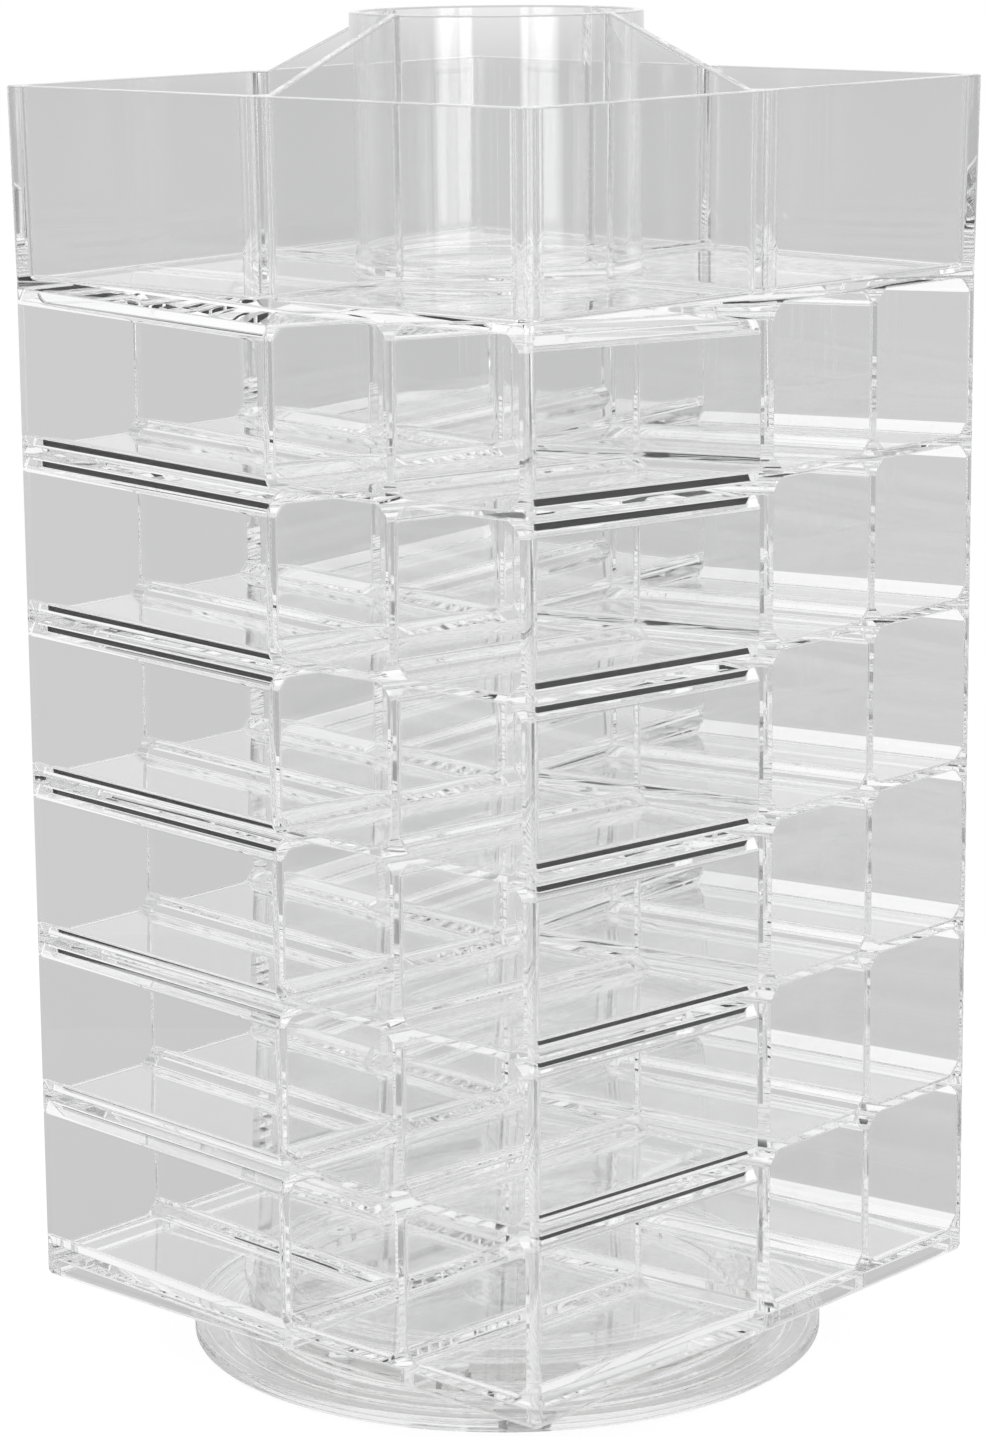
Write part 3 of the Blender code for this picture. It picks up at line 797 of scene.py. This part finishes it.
# The ball race: twelve clear balls in a thin ring of natural nylon, which keeps them apart and
# rolls along with them between the base and the plate.
BALLS = 12
BALL_RADIUS = 2.5 * MM
CAGE_HALF_WIDTH = 3.6 * MM
CAGE_FOOT, CAGE_TOP = 4.8 * MM, 6.4 * MM
CAGE_EDGE = 0.3 * MM
ROUND_STEPS, POLE_STEPS = 40, 20
BALL_TINT = 0.985, 0.99, 0.99
BALL_WAVES = 400.0, 0.000002
BALL_WEAR = 2.0

# The milky plastics: nylon and silicone, whose look differs in tint, clearness and roughness.
MILKY_IOR = 1.52
CLOUD_SHADE, CLOUD_DETAIL = 0.93, 2.0
GRAIN_SCALE, GRAIN_DETAIL, GRAIN_DEPTH = 1800.0, 1.0, 0.000004
ROUGH_LEAST, ROUGH_RANGE = 0.7, 0.6
CAGE_TINT = 0.97, 0.97, 0.96
CAGE_CLEARNESS, CAGE_ROUGHNESS, CAGE_CLOUDS = 0.94, 0.10, 260.0


def milky_plastic(name, tint, clearness, roughness, cloud_scale):
    """A milky unfilled plastic: cloudy patches, a fine grain and a soft shine."""
    material = bpy.data.materials.new(name)
    material.use_nodes = True
    shader = material.node_tree.nodes["Principled BSDF"].inputs
    shader["IOR"].default_value = MILKY_IOR
    shader["Transmission Weight"].default_value = clearness
    nodes = Nodes(material.node_tree)
    place = nodes.add("ShaderNodeTexCoord", output="Object")
    clouds = {"Vector": place, "Scale": cloud_scale, "Detail": CLOUD_DETAIL}
    clouds = nodes.add("ShaderNodeTexNoise", None, clouds)
    grain = {"Vector": place, "Scale": GRAIN_SCALE, "Detail": GRAIN_DETAIL}
    grain = nodes.add("ShaderNodeTexNoise", None, grain)
    cloudy = tuple(CLOUD_SHADE * c for c in tint)
    colours = {0: clouds, 6: (*tint, 1.0), 7: (*cloudy, 1.0)}
    colour = nodes.add("ShaderNodeMix", {"data_type": "RGBA"}, colours, output=2)
    nodes.feed(shader["Base Color"], colour)
    nodes.feed(shader["Roughness"], roughness * (ROUGH_LEAST + ROUGH_RANGE * clouds))
    height = {"Height": grain * GRAIN_DEPTH, "Distance": 1.0}
    nodes.feed(shader["Normal"], nodes.add("ShaderNodeBump", None, height))
    return material


def make_race():
    plastic = clear_plastic("clear ball plastic", BALL_TINT, *BALL_WAVES, BALL_WEAR)
    bm = bmesh.new()
    bmesh.ops.create_uvsphere(
        bm, u_segments=ROUND_STEPS, v_segments=POLE_STEPS, radius=BALL_RADIUS
    )
    ball = to_mesh("ball", bm)
    ball.shade_smooth()
    balls = round_the_axis("race_balls", ball, BALLS, RACE_RADIUS, BALL_HEIGHT, 0.0, plastic)
    balls = put("race_balls", balls)
    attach(balls, "cage")
    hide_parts(*["bearing_ball_%d" % number for number in range(1, BALLS + 1)])

    nylon = milky_plastic(
        "natural nylon", CAGE_TINT, CAGE_CLEARNESS, CAGE_ROUGHNESS, CAGE_CLOUDS
    )
    edge = CAGE_EDGE
    outer, inner = RACE_RADIUS + CAGE_HALF_WIDTH, RACE_RADIUS - CAGE_HALF_WIDTH
    outline = [
        *arc((outer - edge, CAGE_TOP - edge), edge, 90, 0, 3),
        *arc((outer - edge, CAGE_FOOT + edge), edge, 0, -90, 3),
        *arc((inner + edge, CAGE_FOOT + edge), edge, -90, -180, 3),
        *arc((inner + edge, CAGE_TOP - edge), edge, 180, 90, 3),
    ]
    ring = turned_piece("cage_ring", outline, DISC_STEPS, nylon)
    seat = [(0.0, REACH), (GROOVE_RADIUS, REACH), (GROOVE_RADIUS, -REACH), (0.0, -REACH)]
    seat = turned_piece("ball_seat", seat, ROUND_STEPS, nylon)
    seats = round_the_axis("ball_seats", seat, BALLS, RACE_RADIUS, BALL_HEIGHT, 0.0, nylon)
    ring = put("cage_ring", smooth(carve("cage_ring", ring, seats)))
    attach(ring, "cage")
    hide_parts("ball_cage")


make_race()


# The pivot: a headed pin of natural nylon that comes down through the hub and the boss, and the
# ring pressed on its tip, sunk in the underside of the base.
PIN_RADIUS, PIN_TIP = 3.0 * MM, 1.1 * MM
HEAD_RADIUS = 5.0 * MM
HEAD_FOOT, HEAD_TOP = 10.4 * MM, 11.4 * MM
RING_RADIUS = 5.6 * MM
RING_BORE = 3.3 * MM
RING_FOOT, RING_TOP = 1.1 * MM, 1.9 * MM
PIN_EDGE, PIN_POINT, HEAD_BEVEL, RING_EDGE = 0.3 * MM, 0.5 * MM, 0.1 * MM, 0.15 * MM
PIVOT_STEPS = 64
PIVOT_TINT = 0.96, 0.965, 0.96
PIVOT_CLEARNESS, PIVOT_ROUGHNESS, PIVOT_CLOUDS = 0.9, 0.14, 300.0


def make_pivot():
    nylon = milky_plastic(
        "natural nylon pin", PIVOT_TINT, PIVOT_CLEARNESS, PIVOT_ROUGHNESS, PIVOT_CLOUDS
    )
    edge, tip, bevel = PIN_EDGE, PIN_POINT, HEAD_BEVEL
    outline = [
        (0.0, HEAD_TOP),
        *arc((HEAD_RADIUS - edge, HEAD_TOP - edge), edge, 90, 0, 4),
        (HEAD_RADIUS, HEAD_FOOT + bevel), (HEAD_RADIUS - bevel, HEAD_FOOT),
        (PIN_RADIUS, HEAD_FOOT), (PIN_RADIUS, PIN_TIP + tip), (PIN_RADIUS - tip, PIN_TIP),
        (0.0, PIN_TIP),
    ]
    pin = turned_piece("pivot_pin", outline, PIVOT_STEPS, nylon)
    pin = put("pivot_pin_turned", smooth(pin))
    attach(pin, "base")
    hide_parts("pivot_pin")

    edge = RING_EDGE
    outline = [
        *arc((RING_RADIUS - edge, RING_TOP - edge), edge, 90, 0, 3),
        *arc((RING_RADIUS - edge, RING_FOOT + edge), edge, 0, -90, 3),
        *arc((RING_BORE + edge, RING_FOOT + edge), edge, -90, -180, 3),
        *arc((RING_BORE + edge, RING_TOP - edge), edge, 180, 90, 3),
    ]
    ring = turned_piece("pivot_ring", outline, PIVOT_STEPS, nylon)
    ring = put("pivot_ring", smooth(ring))
    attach(ring, "base")
    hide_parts("pivot_retainer")


make_pivot()


# The feet: four soft clear pads pressed into seats under the base, which keep it from sliding.
# The sole of each is dished a little, so that it stands on its rim.
PAD_RADIUS, PAD_TOP = 4.5 * MM, 1.5 * MM
PAD_EDGE = 0.3 * MM
PAD_DISH = 0.15 * MM
PAD_STEPS = 48
PAD_TINT = 0.95, 0.955, 0.96
PAD_CLEARNESS, PAD_ROUGHNESS, PAD_CLOUDS = 0.9, 0.22, 500.0


def make_feet():
    silicone = milky_plastic(
        "clear silicone", PAD_TINT, PAD_CLEARNESS, PAD_ROUGHNESS, PAD_CLOUDS
    )
    edge = PAD_EDGE
    outline = [
        (0.0, PAD_TOP),
        *arc((PAD_RADIUS - edge, PAD_TOP - edge), edge, 90, 0, 3),
        *arc((PAD_RADIUS - edge, edge), edge, 0, -90, 4),
        (PAD_RADIUS * 0.7, PAD_DISH * 0.6), (PAD_RADIUS * 0.35, PAD_DISH), (0.0, PAD_DISH),
    ]
    pad = smooth(turned_piece("pad", outline, PAD_STEPS, silicone))
    pads = round_the_axis("foot_pads", pad, FEET, FOOT_CIRCLE, 0.0, FIRST_FOOT, silicone)
    pads = put("foot_pads", pads)
    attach(pads, "base")
    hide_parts(*["foot_pad_%d" % number for number in range(1, FEET + 1)])


make_feet()
